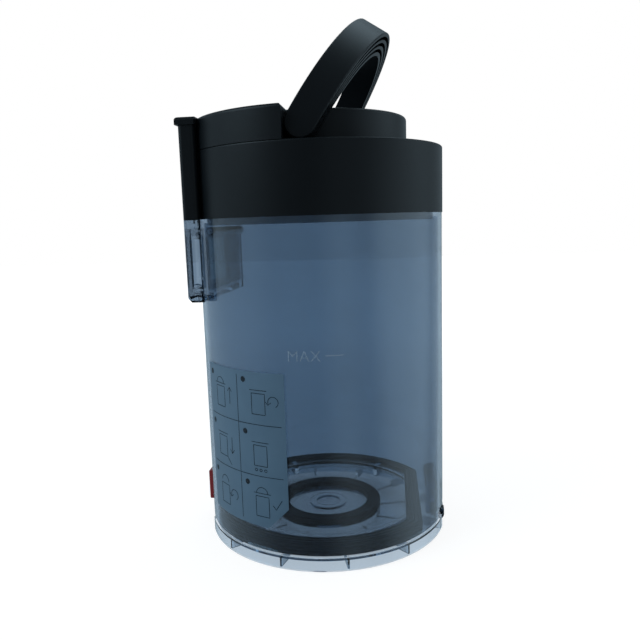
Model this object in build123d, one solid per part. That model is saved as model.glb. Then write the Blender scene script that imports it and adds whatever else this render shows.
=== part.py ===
"""Dust bin of a docking station: clear cup, black collar and cover, bail handle, bottom door and latch."""
from build123d import *
import math
import os

# Driving dimensions in millimetres. The origin is on the floor under the tube axis, +Z is up,
# the flat docking back faces -X and the bottom door hinges at +X.

# Clear cup
TUBE_RADIUS = 78.0
TUBE_WALL = 2.4
SHOULDER_HEIGHT = 2.4
NECK_HEIGHT = 7.0
NECK_WALL = 2.4

# Collar and top cover
COLLAR_STEP = 0.4
COLLAR_WALL = 3.0
COLLAR_BOTTOM = 204.0
COLLAR_HEIGHT = 40.2
COVER_HEIGHT = 18.6
COVER_WALL = 2.4
PLATE_WALL = 2.8
DISC_RADIUS = 56.3
FILTER_OPENING = 46.0
EDGE_ROUND = 2.0

# Flat docking back
BACK_INSET = 2.0
BACK_HALF_WIDTH = 48.5
BACK_THICKNESS = 10.0
BACK_EDGE_ROUND = 2.5
INLET_BOX_HEIGHT = 49.5
BACK_BEVEL = 3.0
LIP_THICKNESS = 4.5
LIP_OVERHANG = 1.4
INLET_HALF_WIDTH = 32.0
INLET_DROP = 12.0
INLET_HEIGHT = 28.0
OUTLET_HALF_WIDTH = 30.0
OUTLET_LIFT = 10.0
OUTLET_HEIGHT = 24.0
GASKET_LAND = 2.0
GASKET_WIDTH = 4.5
GASKET_DEPTH = 1.8
GASKET_RECESS = 0.2
SIDE_RIB_HEIGHTS = (7.0, 14.0, 42.0)
SIDE_RIB_THICKNESS = 1.2
SIDE_RIB_PROUD = 0.8

# Handle
HANDLE_INSET = 4.4
HANDLE_DROP = 0.8
HANDLE_SIDE_GAP = 3.6
HANDLE_WALL = 2.2
HANDLE_RIB = 1.8
HANDLE_RIB_COUNT = 2
HANDLE_RAISED = 57.5
HANDLE_EDGE_ROUND = 0.8
HANDLE_PIN_RADIUS = 3.0
PIN_BOSS_WALL = 2.4
PIN_GRIP = 16.0

# Bottom door
DOOR_HEIGHT = 8.2
RIM_STEP = 0.6
RIM_GAP = 1.3
DOOR_WALL = 2.2
PLUG_HEIGHT = 14.6
SEAL_THICKNESS = 2.3
SEAL_HEIGHT = 6.0
SEAL_CLEARANCE = 1.0
SEAL_FLANGE = 1.2
SEAL_LAP = 8.0
HINGE_FLAT_INSET = 16.0
LATCH_FLAT_INSET = 12.0
RECESS_INSET = 18.0
RECESS_FLAT_INSET = 25.0
FLOOR_BOTTOM = 0.6
BOSS_RADIUS = 36.0
BOSS_HEIGHT = 5.2
CENTRE_RING_WIDTH = 9.0
CENTRE_RING_HEIGHT = 4.0
HUB_RADIUS = 12.5
HUB_BORE = 8.0
HUB_HEIGHT = 1.6
WEB_THICKNESS = 1.2
WEB_COUNT = 12
POST_THICKNESS = 3.0
POST_COUNT = 6
RIB_LIFT = 0.5
FLOOR_RIB = 1.0

# Door hinge
HINGE_INSET = 4.0
HINGE_Z = 8.5
HINGE_HALF_WIDTH = 16.0
KNUCKLE_HALF_WIDTH = 9.2
KNUCKLE_RADIUS = 4.2
HINGE_PIN_RADIUS = 1.8
HINGE_TOWER_TOP = 31.0
HINGE_RELIEF = 5.2
HINGE_TOWER_DEPTH = 12.0

# Door latch
LATCH_POCKET_HALF_WIDTH = 20.0
LATCH_POCKET_SHOULDER = 27.0
LATCH_POCKET_APEX = 45.0
LATCH_POCKET_DEPTH = 10.0
LATCH_PIN_INSET = 3.6
LATCH_PIN_Z = 20.0
LATCH_PIN_RADIUS = 1.5
LATCH_HUB_RADIUS = 2.9
BUTTON_PROUD = 3.4
BUTTON_HALF_WIDTH = 10.0
BUTTON_BOTTOM = 13.0
BUTTON_TOP = 33.0
BUTTON_THICKNESS = 4.6
BUTTON_ROUND = 1.0
GRIP_GROOVE_RADIUS = 0.7
GRIP_GROOVE_PITCH = 2.4
GRIP_GROOVE_COUNT = 4
HOOK_HALF_WIDTH = 7.0
HOOK_THICKNESS = 2.2
HOOK_BOTTOM = 3.2
HOOK_NOSE_HEIGHT = 2.0
KEEPER_INSET = 4.7
SPRING_STRIP = 0.5
SPRING_HALF_WIDTH = 4.0

# Inlet flap
FLAP_THICKNESS = 1.6
FLAP_OVERLAP = 3.0
FLAP_PIN_RADIUS = 1.5
FLAP_KNUCKLE_RADIUS = 2.8
FLAP_PIN_LIFT = 4.4
FLAP_LUG_WIDTH = 4.0

# Separator plate, filter and screen
SEPARATOR_THICKNESS = 2.4
SEPARATOR_LIP = 2.3
COLLAR_SEAL_WIDTH = 2.3
COLLAR_SEAL_HEIGHT = 4.0
SCREEN_RADIUS = 29.0
SCREEN_REST = 3.0
SCREEN_THICKNESS = 1.4
SCREEN_HOLE = 5.0
SCREEN_PITCH = 7.0
FILTER_RADIUS = 44.0
FILTER_INNER_RADIUS = 30.5
FILTER_CAP = 3.0
FILTER_BAR = 2.0
FILTER_BAR_COUNT = 8
FILTER_SEAL_HEIGHT = 2.0
FILTER_RISE = 34.0
PLEAT_COUNT = 36
HOLD_DOWN_RADIUS = 22.0

# Screws
SCREW_RADIUS = 1.3
SCREW_HEAD_RADIUS = 2.8
SCREW_HEAD_HEIGHT = 1.8
SCREW_LENGTH = 12.0
SCREW_HOLE = 1.6
SCREW_BOSS_RADIUS = 3.6
BLOCK_SCREW_INSET = 12.0
DISC_SCREW_INSET = 7.3
PLATE_SCREW_INSET = 18.0
BLOCK_SCREW_ANGLES = (115, 145, -145, -115)
DISC_SCREW_ANGLES = (-35, 35)
PLATE_SCREW_ANGLES = (-40, 40, 140, -140)

# Instruction label, angles measured from the front (-Y) towards the back (-X)
LABEL_START = 10.0
LABEL_END = 58.0
LABEL_BOTTOM = 24.0
LABEL_TOP = 117.0
LABEL_THICKNESS = 0.25
LABEL_CUT = 13.0

# Clearances
FIT = 0.3
PIN_CLEARANCE = 0.05
LABEL_GAP = 0.05
PRESS = 0.02
HANDLE_CLEARANCE = 0.8
FOLD_CLEARANCE = 0.4

# Places that follow from the sizes above
TUBE_INNER = TUBE_RADIUS - TUBE_WALL
TUBE_BOTTOM = DOOR_HEIGHT + RIM_GAP
RIM_RADIUS = TUBE_RADIUS + RIM_STEP
COLLAR_RADIUS = TUBE_RADIUS + COLLAR_STEP
COLLAR_INNER = COLLAR_RADIUS - COLLAR_WALL
COLLAR_TOP = COLLAR_BOTTOM + COLLAR_HEIGHT
COLLAR_PLATE_BOTTOM = COLLAR_TOP - PLATE_WALL
COVER_TOP = COLLAR_TOP + COVER_HEIGHT
NECK_RADIUS = COLLAR_INNER - FIT
NECK_INNER = NECK_RADIUS - NECK_WALL
BACK_X = -(TUBE_RADIUS - BACK_INSET)
BACK_INNER_X = BACK_X + BACK_THICKNESS
COVER_BACK_X = BACK_INNER_X + FIT
INLET_BOX_BOTTOM = COLLAR_BOTTOM - INLET_BOX_HEIGHT
INLET_TOP = COLLAR_BOTTOM - INLET_DROP
INLET_SILL = INLET_TOP - INLET_HEIGHT
OUTLET_SILL = COLLAR_BOTTOM + OUTLET_LIFT
LIP_BOTTOM = COVER_TOP - LIP_THICKNESS
HANDLE_OUTER = COLLAR_RADIUS - HANDLE_INSET
HANDLE_INNER = DISC_RADIUS + HANDLE_SIDE_GAP
HANDLE_BOTTOM = COLLAR_TOP + FOLD_CLEARANCE
HANDLE_TOP = COVER_TOP - HANDLE_DROP
HANDLE_HALF = (HANDLE_TOP - HANDLE_BOTTOM) / 2
PIVOT_Z = HANDLE_BOTTOM + HANDLE_HALF
NOTCH_X = -(HANDLE_HALF + HANDLE_CLEARANCE)
PIN_TIP = HANDLE_OUTER - HANDLE_WALL - HANDLE_RIB
PIN_ROOT = DISC_RADIUS - PIN_GRIP
SEAL_RADIUS = TUBE_INNER - SEAL_CLEARANCE
SEAL_BOTTOM = PLUG_HEIGHT - SEAL_HEIGHT
HINGE_FLAT = TUBE_RADIUS - HINGE_FLAT_INSET
LATCH_FLAT = TUBE_RADIUS - LATCH_FLAT_INSET
RECESS_RADIUS = TUBE_RADIUS - RECESS_INSET
RECESS_FLAT = TUBE_RADIUS - RECESS_FLAT_INSET
FLOOR_TOP = FLOOR_BOTTOM + DOOR_WALL
BOSS_TOP = FLOOR_TOP + BOSS_HEIGHT
HINGE_X = TUBE_RADIUS - HINGE_INSET
HINGE_TOWER_X = TUBE_RADIUS - HINGE_TOWER_DEPTH
HINGE_LUG_WIDTH = HINGE_HALF_WIDTH - KNUCKLE_HALF_WIDTH - FIT
LATCH_POCKET_X = TUBE_RADIUS - LATCH_POCKET_DEPTH
LATCH_PIN_X = -(TUBE_RADIUS - LATCH_PIN_INSET)
BUTTON_X = -(TUBE_RADIUS + BUTTON_PROUD)
KEEPER_X = -(TUBE_RADIUS - KEEPER_INSET)
FLAP_FACE_X = BACK_INNER_X + FIT
FLAP_PIN_X = FLAP_FACE_X + FLAP_KNUCKLE_RADIUS
FLAP_PIN_Z = INLET_TOP + FLAP_PIN_LIFT
SEPARATOR_TOP = COLLAR_BOTTOM + SEPARATOR_THICKNESS
SEPARATOR_RADIUS = NECK_INNER - FIT
SEPARATOR_FLAT = -COVER_BACK_X
FILTER_TOP = COLLAR_BOTTOM + FILTER_RISE


def ring(outer, inner, bottom, top):
    """Ring about the tube axis between two heights."""
    return Pos(0, 0, bottom) * extrude(Circle(outer) - Circle(inner), amount=top - bottom)


def disc(radius, bottom, top, x=0.0, y=0.0):
    """Upright cylinder between two heights."""
    return Pos(x, y, bottom) * extrude(Circle(radius), amount=top - bottom)


def slab(x0, x1, half_width, bottom, top):
    """Box between two X planes and two heights, centred on the XZ plane."""
    return Pos((x0 + x1) / 2, 0, (bottom + top) / 2) * Box(x1 - x0, 2 * half_width, top - bottom)


def rod(x, z, radius, y0, y1):
    """Cylinder along Y between two Y planes."""
    return Pos(x, (y0 + y1) / 2, z) * Rot(90, 0, 0) * Cylinder(radius, y1 - y0)


def both_sides(shape):
    """A shape together with its mirror image across the XZ plane."""
    return shape + mirror(shape, about=Plane.XZ)


def flatted(radius, front, back):
    """Round outline with a flat towards +X and one towards -X."""
    flats = Pos((front - back) / 2, 0) * Rectangle(front + back, 2 * radius)
    return Circle(radius) & flats


def band(outline, bottom, top):
    """An outline drawn on the floor, raised between two heights."""
    return Pos(0, 0, bottom) * extrude(outline, amount=top - bottom)


def frame_groove(half_width, sill, height, recess):
    """Rectangular gasket ring around a port in the docking back."""
    inner = GASKET_LAND
    outer = GASKET_LAND + GASKET_WIDTH
    x0 = BACK_X + recess
    x1 = BACK_X + GASKET_DEPTH
    body = slab(x0, x1, half_width + outer, sill - outer, sill + height + outer)
    return body - slab(x0, x1, half_width + inner, sill - inner, sill + height + inner)


def around(angles, circle):
    """Centres at the given angles from +X on a circle about the tube axis."""
    return [(circle * math.cos(math.radians(a)), circle * math.sin(math.radians(a))) for a in angles]


BLOCK_SCREWS = around(BLOCK_SCREW_ANGLES, TUBE_RADIUS - BLOCK_SCREW_INSET)
DISC_SCREWS = around(DISC_SCREW_ANGLES, DISC_RADIUS - DISC_SCREW_INSET)
COVER_SCREWS = BLOCK_SCREWS + DISC_SCREWS
PLATE_SCREWS = around(PLATE_SCREW_ANGLES, TUBE_RADIUS - PLATE_SCREW_INSET)


def latch_house(half_width, inset, x_inner):
    """House-shaped block behind the latch, from outside the tube in to the given depth."""
    roof = LATCH_POCKET_APEX - LATCH_POCKET_SHOULDER
    apex = LATCH_POCKET_APEX - inset
    shoulder = apex - roof * half_width / LATCH_POCKET_HALF_WIDTH
    outline = Polyline(
        (-half_width, TUBE_BOTTOM),
        (half_width, TUBE_BOTTOM),
        (half_width, shoulder),
        (0, apex),
        (-half_width, shoulder),
        close=True,
    )
    face = Plane(origin=(-x_inner, 0, 0), x_dir=(0, 1, 0), z_dir=(1, 0, 0)) * make_face(outline)
    return extrude(face, amount=TUBE_RADIUS - x_inner + TUBE_WALL, dir=(-1, 0, 0))


def dust_cup():
    """Clear tube with its neck, inlet box, hinge tower and latch pocket, moulded in one piece."""
    tube = disc(TUBE_RADIUS, TUBE_BOTTOM, COLLAR_BOTTOM)
    inlet = slab(BACK_X, BACK_INNER_X, BACK_HALF_WIDTH, INLET_BOX_BOTTOM, COLLAR_BOTTOM)
    inlet = chamfer(inlet.edges().filter_by(Axis.Y).group_by(Axis.Z)[0].sort_by(Axis.X)[0], BACK_BEVEL)
    inlet = fillet(inlet.edges().filter_by(Axis.Z), BACK_EDGE_ROUND)
    cup = ring(TUBE_RADIUS, TUBE_INNER, TUBE_BOTTOM, COLLAR_BOTTOM)
    cup += ring(TUBE_RADIUS, NECK_INNER, COLLAR_BOTTOM - SHOULDER_HEIGHT, COLLAR_BOTTOM)
    neck = ring(NECK_RADIUS, NECK_INNER, COLLAR_BOTTOM, COLLAR_BOTTOM + NECK_HEIGHT)
    cup += neck - slab(BACK_X - TUBE_WALL, COVER_BACK_X, TUBE_RADIUS, COLLAR_BOTTOM, COLLAR_TOP)
    cup -= slab(-2 * TUBE_RADIUS, BACK_X, BACK_HALF_WIDTH, INLET_BOX_BOTTOM, COLLAR_TOP)
    cup += inlet
    rib_half = BACK_HALF_WIDTH + SIDE_RIB_PROUD
    for lift in SIDE_RIB_HEIGHTS:
        rib_z = INLET_BOX_BOTTOM + lift
        rib = slab(BACK_X + BACK_EDGE_ROUND, BACK_INNER_X, rib_half, rib_z, rib_z + SIDE_RIB_THICKNESS)
        cup += rib - slab(BACK_X, BACK_INNER_X, BACK_HALF_WIDTH - SIDE_RIB_PROUD, rib_z, COLLAR_BOTTOM)
    cup -= slab(BACK_X - TUBE_WALL, COVER_BACK_X, INLET_HALF_WIDTH, INLET_SILL, INLET_TOP)
    cup -= frame_groove(INLET_HALF_WIDTH, INLET_SILL, INLET_HEIGHT, 0)
    lug_y = INLET_HALF_WIDTH + FLAP_OVERLAP - FLAP_LUG_WIDTH
    lug = rod(FLAP_PIN_X, FLAP_PIN_Z, FLAP_KNUCKLE_RADIUS, lug_y, lug_y + FLAP_LUG_WIDTH)
    lug_root = slab(
        BACK_INNER_X, FLAP_PIN_X, FLAP_LUG_WIDTH / 2,
        FLAP_PIN_Z - FLAP_KNUCKLE_RADIUS, FLAP_PIN_Z + FLAP_KNUCKLE_RADIUS,
    )
    lug += Pos(0, lug_y + FLAP_LUG_WIDTH / 2, 0) * lug_root
    cup += both_sides(lug)
    lug_end = lug_y + FLAP_LUG_WIDTH
    cup -= rod(FLAP_PIN_X, FLAP_PIN_Z, FLAP_PIN_RADIUS + PRESS, -lug_end, lug_end)
    cup += latch_house(LATCH_POCKET_HALF_WIDTH, 0, LATCH_POCKET_X) & tube
    cavity_half = LATCH_POCKET_HALF_WIDTH - DOOR_WALL
    cup -= latch_house(cavity_half, DOOR_WALL, LATCH_POCKET_X + DOOR_WALL)
    pocket_half = LATCH_POCKET_HALF_WIDTH
    cup -= rod(LATCH_PIN_X, LATCH_PIN_Z, LATCH_PIN_RADIUS + PRESS, -pocket_half, pocket_half)
    tower = slab(HINGE_TOWER_X, TUBE_RADIUS, HINGE_HALF_WIDTH, TUBE_BOTTOM, HINGE_TOWER_TOP)
    tower_top = tower.edges().filter_by(Axis.Y).group_by(Axis.Z)[-1].sort_by(Axis.X)[0]
    cup += fillet(tower_top, KNUCKLE_RADIUS) & tube
    relief_x = HINGE_X - FIT
    relief = slab(relief_x, 2 * TUBE_RADIUS, TUBE_RADIUS, TUBE_BOTTOM, HINGE_Z + HINGE_RELIEF)
    cup -= relief - slab(relief_x, 2 * TUBE_RADIUS, HINGE_HALF_WIDTH, TUBE_BOTTOM, HINGE_Z + HINGE_RELIEF)
    lug_start = HINGE_HALF_WIDTH - HINGE_LUG_WIDTH
    hinge_lug = rod(HINGE_X, HINGE_Z, KNUCKLE_RADIUS, lug_start, HINGE_HALF_WIDTH)
    hinge_root = slab(
        HINGE_X - KNUCKLE_RADIUS, HINGE_X + KNUCKLE_RADIUS, HINGE_LUG_WIDTH / 2,
        HINGE_Z, TUBE_BOTTOM + DOOR_WALL,
    )
    hinge_lug += Pos(0, lug_start + HINGE_LUG_WIDTH / 2, 0) * hinge_root
    cup += both_sides(hinge_lug)
    room_top = HINGE_Z + KNUCKLE_RADIUS + DOOR_WALL
    cup -= slab(HINGE_TOWER_X + DOOR_WALL, 2 * TUBE_RADIUS, lug_start, 0, room_top)
    return cup - rod(HINGE_X, HINGE_Z, HINGE_PIN_RADIUS + PRESS, -HINGE_HALF_WIDTH, HINGE_HALF_WIDTH)


def collar_ring():
    """Black collar with its top plate, screw posts and the outlet half of the docking back."""
    plate = slab(BACK_X, BACK_INNER_X, BACK_HALF_WIDTH, COLLAR_BOTTOM, LIP_BOTTOM)
    plate = fillet(plate.edges().filter_by(Axis.Z), BACK_EDGE_ROUND)
    collar = ring(COLLAR_RADIUS, COLLAR_INNER, COLLAR_BOTTOM, COLLAR_TOP)
    collar += ring(COLLAR_RADIUS, FILTER_OPENING, COLLAR_PLATE_BOTTOM, COLLAR_TOP)
    rim = collar.faces().sort_by(Axis.Z)[-1].edges().sort_by(SortBy.LENGTH)[-1]
    collar = fillet(rim, EDGE_ROUND / 2)
    collar -= slab(-2 * TUBE_RADIUS, BACK_X, TUBE_RADIUS, COLLAR_BOTTOM, COLLAR_TOP)
    collar += plate
    for x, y in PLATE_SCREWS:
        collar += disc(SCREW_BOSS_RADIUS, SEPARATOR_TOP, COLLAR_PLATE_BOTTOM, x, y)
        collar -= disc(SCREW_RADIUS, SEPARATOR_TOP, SEPARATOR_TOP + SCREW_LENGTH, x, y)
    for x, y in COVER_SCREWS:
        collar -= disc(SCREW_HOLE, COLLAR_PLATE_BOTTOM, COLLAR_TOP, x, y)
    collar -= slab(
        2 * BACK_X, COVER_BACK_X, OUTLET_HALF_WIDTH, OUTLET_SILL, OUTLET_SILL + OUTLET_HEIGHT
    )
    return collar - frame_groove(OUTLET_HALF_WIDTH, OUTLET_SILL, OUTLET_HEIGHT, 0)


def rounded_top(shape):
    """A piece of the cover with its top edges rounded, apart from the seam along the back of the block."""
    rims = shape.edges().group_by(Axis.Z)[-1]
    return fillet(rims.filter_by(lambda e: abs(e.center().X - COVER_BACK_X) > FIT), EDGE_ROUND)


def top_cover():
    """Black cover: round disc, block flush with the collar and the docking lip, hollow underneath."""
    block_length = NOTCH_X - COVER_BACK_X
    block_plan = Pos(NOTCH_X - block_length / 2, 0) * Rectangle(block_length, 4 * TUBE_RADIUS)
    block = rounded_top(band(Circle(COLLAR_RADIUS) & block_plan, COLLAR_TOP, COVER_TOP))
    lip_x = BACK_X - LIP_OVERHANG
    lip = slab(lip_x, COVER_BACK_X, BACK_HALF_WIDTH + LIP_OVERHANG / 2, LIP_BOTTOM, COVER_TOP)
    cover = rounded_top(disc(DISC_RADIUS, COLLAR_TOP, COVER_TOP)) + block + rounded_top(lip)
    room_length = NOTCH_X - COVER_BACK_X - 2 * COVER_WALL
    room = Pos(NOTCH_X - COVER_WALL - room_length / 2, 0) * Rectangle(room_length, 4 * TUBE_RADIUS)
    hollow = Circle(DISC_RADIUS - COVER_WALL) + (Circle(COLLAR_RADIUS - COVER_WALL) & room)
    ceiling = COVER_TOP - COVER_WALL
    cover -= band(hollow, COLLAR_TOP, ceiling)
    cover += ring(HOLD_DOWN_RADIUS, HOLD_DOWN_RADIUS - COVER_WALL, FILTER_TOP, ceiling)
    for x, y in COVER_SCREWS:
        cover += disc(SCREW_BOSS_RADIUS, COLLAR_TOP, ceiling, x, y)
        cover -= disc(SCREW_RADIUS, COLLAR_TOP, COLLAR_TOP + SCREW_LENGTH, x, y)
    pin_boss = rod(0, PIVOT_Z, HANDLE_PIN_RADIUS + PIN_BOSS_WALL, PIN_ROOT, DISC_RADIUS - COVER_WALL / 2)
    cover += both_sides(pin_boss)
    return cover - both_sides(rod(0, PIVOT_Z, HANDLE_PIN_RADIUS + PRESS, PIN_ROOT, DISC_RADIUS))


def handle():
    """Bail with four concentric walls under a closed web, drawn folded and then raised about its pivot."""
    def half_ring(outer, inner, bottom, top):
        """Half of a ring, on the hinge side of the tube axis."""
        return ring(outer, inner, bottom, top) & slab(0, COLLAR_RADIUS, COLLAR_RADIUS, bottom, top)

    bail = half_ring(HANDLE_OUTER, HANDLE_INNER, HANDLE_BOTTOM, HANDLE_TOP)
    rims = bail.edges().filter_by(GeomType.CIRCLE).filter_by(lambda e: e.radius > HANDLE_OUTER - FIT)
    bail = fillet(rims, HANDLE_EDGE_ROUND)
    end = rod(0, PIVOT_Z, HANDLE_HALF, HANDLE_INNER, HANDLE_OUTER)
    end = fillet(end.edges().filter_by(GeomType.CIRCLE).sort_by(Axis.Y)[-1], HANDLE_EDGE_ROUND)
    bail += both_sides(end & slab(-HANDLE_HALF, 0, COLLAR_RADIUS, HANDLE_BOTTOM, HANDLE_TOP))
    clear_width = HANDLE_OUTER - HANDLE_INNER - 2 * HANDLE_WALL - HANDLE_RIB_COUNT * HANDLE_RIB
    channel = clear_width / (HANDLE_RIB_COUNT + 1)
    for k in range(HANDLE_RIB_COUNT + 1):
        start = HANDLE_INNER + HANDLE_WALL + k * (channel + HANDLE_RIB)
        groove = half_ring(start + channel, start, HANDLE_BOTTOM, HANDLE_TOP - HANDLE_WALL)
        groove += both_sides(rod(0, PIVOT_Z, HANDLE_HALF - HANDLE_WALL, start, start + channel))
        bail -= groove
    boss_radius = HANDLE_PIN_RADIUS + PIN_BOSS_WALL
    bail += both_sides(rod(0, PIVOT_Z, boss_radius, HANDLE_INNER, HANDLE_OUTER - HANDLE_WALL))
    bore = HANDLE_PIN_RADIUS + PIN_CLEARANCE
    bail -= both_sides(rod(0, PIVOT_Z, bore, PIN_ROOT, PIN_TIP + FIT))
    return bail.rotate(Axis((0, 0, PIVOT_Z), (0, 1, 0)), -HANDLE_RAISED)


def handle_pin(side):
    """Pivot pin pressed into the cover, with its free end in the handle."""
    pin = rod(0, PIVOT_Z, HANDLE_PIN_RADIUS, PIN_ROOT, PIN_TIP)
    return pin if side > 0 else mirror(pin, about=Plane.XZ)


def bottom_door():
    """Clear door: rim, raised sealing ring, recessed floor, centre boss, webs and hinge knuckle."""
    plug = flatted(SEAL_RADIUS - SEAL_THICKNESS, HINGE_FLAT - SEAL_THICKNESS, LATCH_FLAT - SEAL_THICKNESS)
    plug_room = offset(plug, -DOOR_WALL, kind=Kind.INTERSECTION)
    recess = flatted(RECESS_RADIUS, RECESS_FLAT, RECESS_RADIUS)
    recess_wall = offset(recess, DOOR_WALL, kind=Kind.INTERSECTION)
    under_rim = DOOR_HEIGHT - DOOR_WALL
    rim = flatted(RIM_RADIUS, RIM_RADIUS, -KEEPER_X)
    rim_room = offset(rim, -DOOR_WALL, kind=Kind.INTERSECTION)
    door = band(rim, under_rim, DOOR_HEIGHT)
    door += band(rim - rim_room, 0, DOOR_HEIGHT)
    door += band(plug, DOOR_HEIGHT, PLUG_HEIGHT)
    door -= band(plug_room, under_rim, PLUG_HEIGHT - DOOR_WALL)
    door += band(recess_wall, FLOOR_BOTTOM, PLUG_HEIGHT)
    door -= band(recess, FLOOR_TOP, PLUG_HEIGHT)
    door += disc(BOSS_RADIUS, FLOOR_BOTTOM, BOSS_TOP)
    door -= disc(BOSS_RADIUS - DOOR_WALL, FLOOR_BOTTOM, BOSS_TOP - DOOR_WALL)
    door += ring(HUB_RADIUS, HUB_BORE, BOSS_TOP - DOOR_WALL, BOSS_TOP + HUB_HEIGHT)
    web_room = band(rim - recess_wall, RIB_LIFT, under_rim)
    floor_room = band(recess - Circle(BOSS_RADIUS), FLOOR_TOP, FLOOR_TOP + FLOOR_RIB)
    web_z = (RIB_LIFT + DOOR_HEIGHT) / 2
    for k in range(WEB_COUNT):
        web = Rot(0, 0, 360 / WEB_COUNT * (k + 0.5)) * Pos(RIM_RADIUS / 2, 0, web_z)
        door += web * Box(RIM_RADIUS, WEB_THICKNESS, DOOR_HEIGHT - RIB_LIFT) & (web_room + floor_room)
    post_room = band(plug_room - recess_wall, under_rim, PLUG_HEIGHT - DOOR_WALL)
    for k in range(POST_COUNT):
        post = Rot(0, 0, 360 / POST_COUNT * k) * Pos(TUBE_RADIUS / 2, 0, PLUG_HEIGHT / 2)
        door += post * Box(TUBE_RADIUS, POST_THICKNESS, PLUG_HEIGHT) & post_room
    gap_x = HINGE_X - KNUCKLE_RADIUS - 2 * FIT
    lug_half = HINGE_HALF_WIDTH + FIT
    door -= slab(gap_x, 2 * TUBE_RADIUS, lug_half, 0, DOOR_HEIGHT)
    door += slab(gap_x - DOOR_WALL, HINGE_X, KNUCKLE_HALF_WIDTH, HINGE_Z - KNUCKLE_RADIUS, DOOR_HEIGHT)
    door += rod(HINGE_X, HINGE_Z, KNUCKLE_RADIUS, -KNUCKLE_HALF_WIDTH, KNUCKLE_HALF_WIDTH)
    bore = HINGE_PIN_RADIUS + PIN_CLEARANCE
    return door - rod(HINGE_X, HINGE_Z, bore, -KNUCKLE_HALF_WIDTH, KNUCKLE_HALF_WIDTH)


def door_seal():
    """Black rubber band stretched round the raised ring of the door, with a flange over its top."""
    outer = flatted(SEAL_RADIUS, HINGE_FLAT, LATCH_FLAT)
    inner = flatted(SEAL_RADIUS - SEAL_THICKNESS, HINGE_FLAT - SEAL_THICKNESS, LATCH_FLAT - SEAL_THICKNESS)
    flange_hole = flatted(SEAL_RADIUS - SEAL_LAP, RECESS_FLAT, LATCH_FLAT - SEAL_THICKNESS - DOOR_WALL)
    flange = band(outer - flange_hole, PLUG_HEIGHT, PLUG_HEIGHT + SEAL_FLANGE)
    return band(outer - inner, SEAL_BOTTOM, PLUG_HEIGHT) + flange


def centre_seal():
    """Black rubber ring on the centre boss of the door."""
    ring_top = BOSS_TOP + CENTRE_RING_HEIGHT
    seal = ring(BOSS_RADIUS, BOSS_RADIUS - CENTRE_RING_WIDTH, BOSS_TOP, ring_top)
    return fillet(seal.edges().group_by(Axis.Z)[-1], CENTRE_RING_HEIGHT / 4)


def door_hinge_pin():
    """Steel pin through the hinge lugs and the door knuckle."""
    return rod(HINGE_X, HINGE_Z, HINGE_PIN_RADIUS, -HINGE_HALF_WIDTH, HINGE_HALF_WIDTH)


def latch_button():
    """Red rocker: thumb pad, pin hub, and a hook that reaches down to the door rim."""
    pad_inner = BUTTON_X + BUTTON_THICKNESS
    pad = slab(BUTTON_X, pad_inner, BUTTON_HALF_WIDTH, BUTTON_BOTTOM, BUTTON_TOP)
    pad = fillet(pad.faces().sort_by(Axis.X)[0].edges(), BUTTON_ROUND)
    hub_half = LATCH_POCKET_HALF_WIDTH - DOOR_WALL - FIT
    lever = pad + rod(LATCH_PIN_X, LATCH_PIN_Z, LATCH_HUB_RADIUS, -hub_half, hub_half)
    arm_x = -TUBE_RADIUS + FIT
    arm_top = LATCH_PIN_Z - LATCH_HUB_RADIUS / 2
    lever += slab(pad_inner, LATCH_PIN_X, BUTTON_HALF_WIDTH, arm_top, LATCH_PIN_Z + LATCH_HUB_RADIUS)
    lever += slab(arm_x, arm_x + HOOK_THICKNESS, HOOK_HALF_WIDTH, HOOK_BOTTOM, arm_top)
    lever += slab(arm_x, KEEPER_X - 2 * FIT, HOOK_HALF_WIDTH, HOOK_BOTTOM, HOOK_BOTTOM + HOOK_NOSE_HEIGHT)
    grip_z = (BUTTON_TOP + LATCH_PIN_Z) / 2 - GRIP_GROOVE_PITCH * (GRIP_GROOVE_COUNT - 1) / 2
    for k in range(GRIP_GROOVE_COUNT):
        groove_z = grip_z + k * GRIP_GROOVE_PITCH
        lever -= rod(BUTTON_X, groove_z, GRIP_GROOVE_RADIUS, -HOOK_HALF_WIDTH, HOOK_HALF_WIDTH)
    bore = rod(LATCH_PIN_X, LATCH_PIN_Z, LATCH_PIN_RADIUS + PIN_CLEARANCE, -hub_half, hub_half)
    return lever - bore


def latch_pin():
    """Steel pin across the latch pocket."""
    half = LATCH_POCKET_HALF_WIDTH
    return rod(LATCH_PIN_X, LATCH_PIN_Z, LATCH_PIN_RADIUS, -half, half)


def latch_spring():
    """Bowed steel strip between the pocket floor and the back of the thumb pad."""
    floor_x = -(LATCH_POCKET_X + DOOR_WALL)
    pad_x = BUTTON_X + BUTTON_THICKNESS
    low = LATCH_PIN_Z + LATCH_HUB_RADIUS + 2 * FIT
    high = BUTTON_TOP - BUTTON_ROUND
    middle = (low + high) / 2
    foot = 2 * SPRING_STRIP
    outer = ThreePointArc((floor_x, low), (pad_x, middle), (floor_x, high))
    inner = ThreePointArc((floor_x, high - foot), (pad_x + SPRING_STRIP, middle), (floor_x, low + foot))
    feet = [Line(outer @ 1, inner @ 0), Line(inner @ 1, outer @ 0)]
    return extrude(Plane.XZ * make_face([outer, inner] + feet), amount=SPRING_HALF_WIDTH, both=True)


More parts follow.
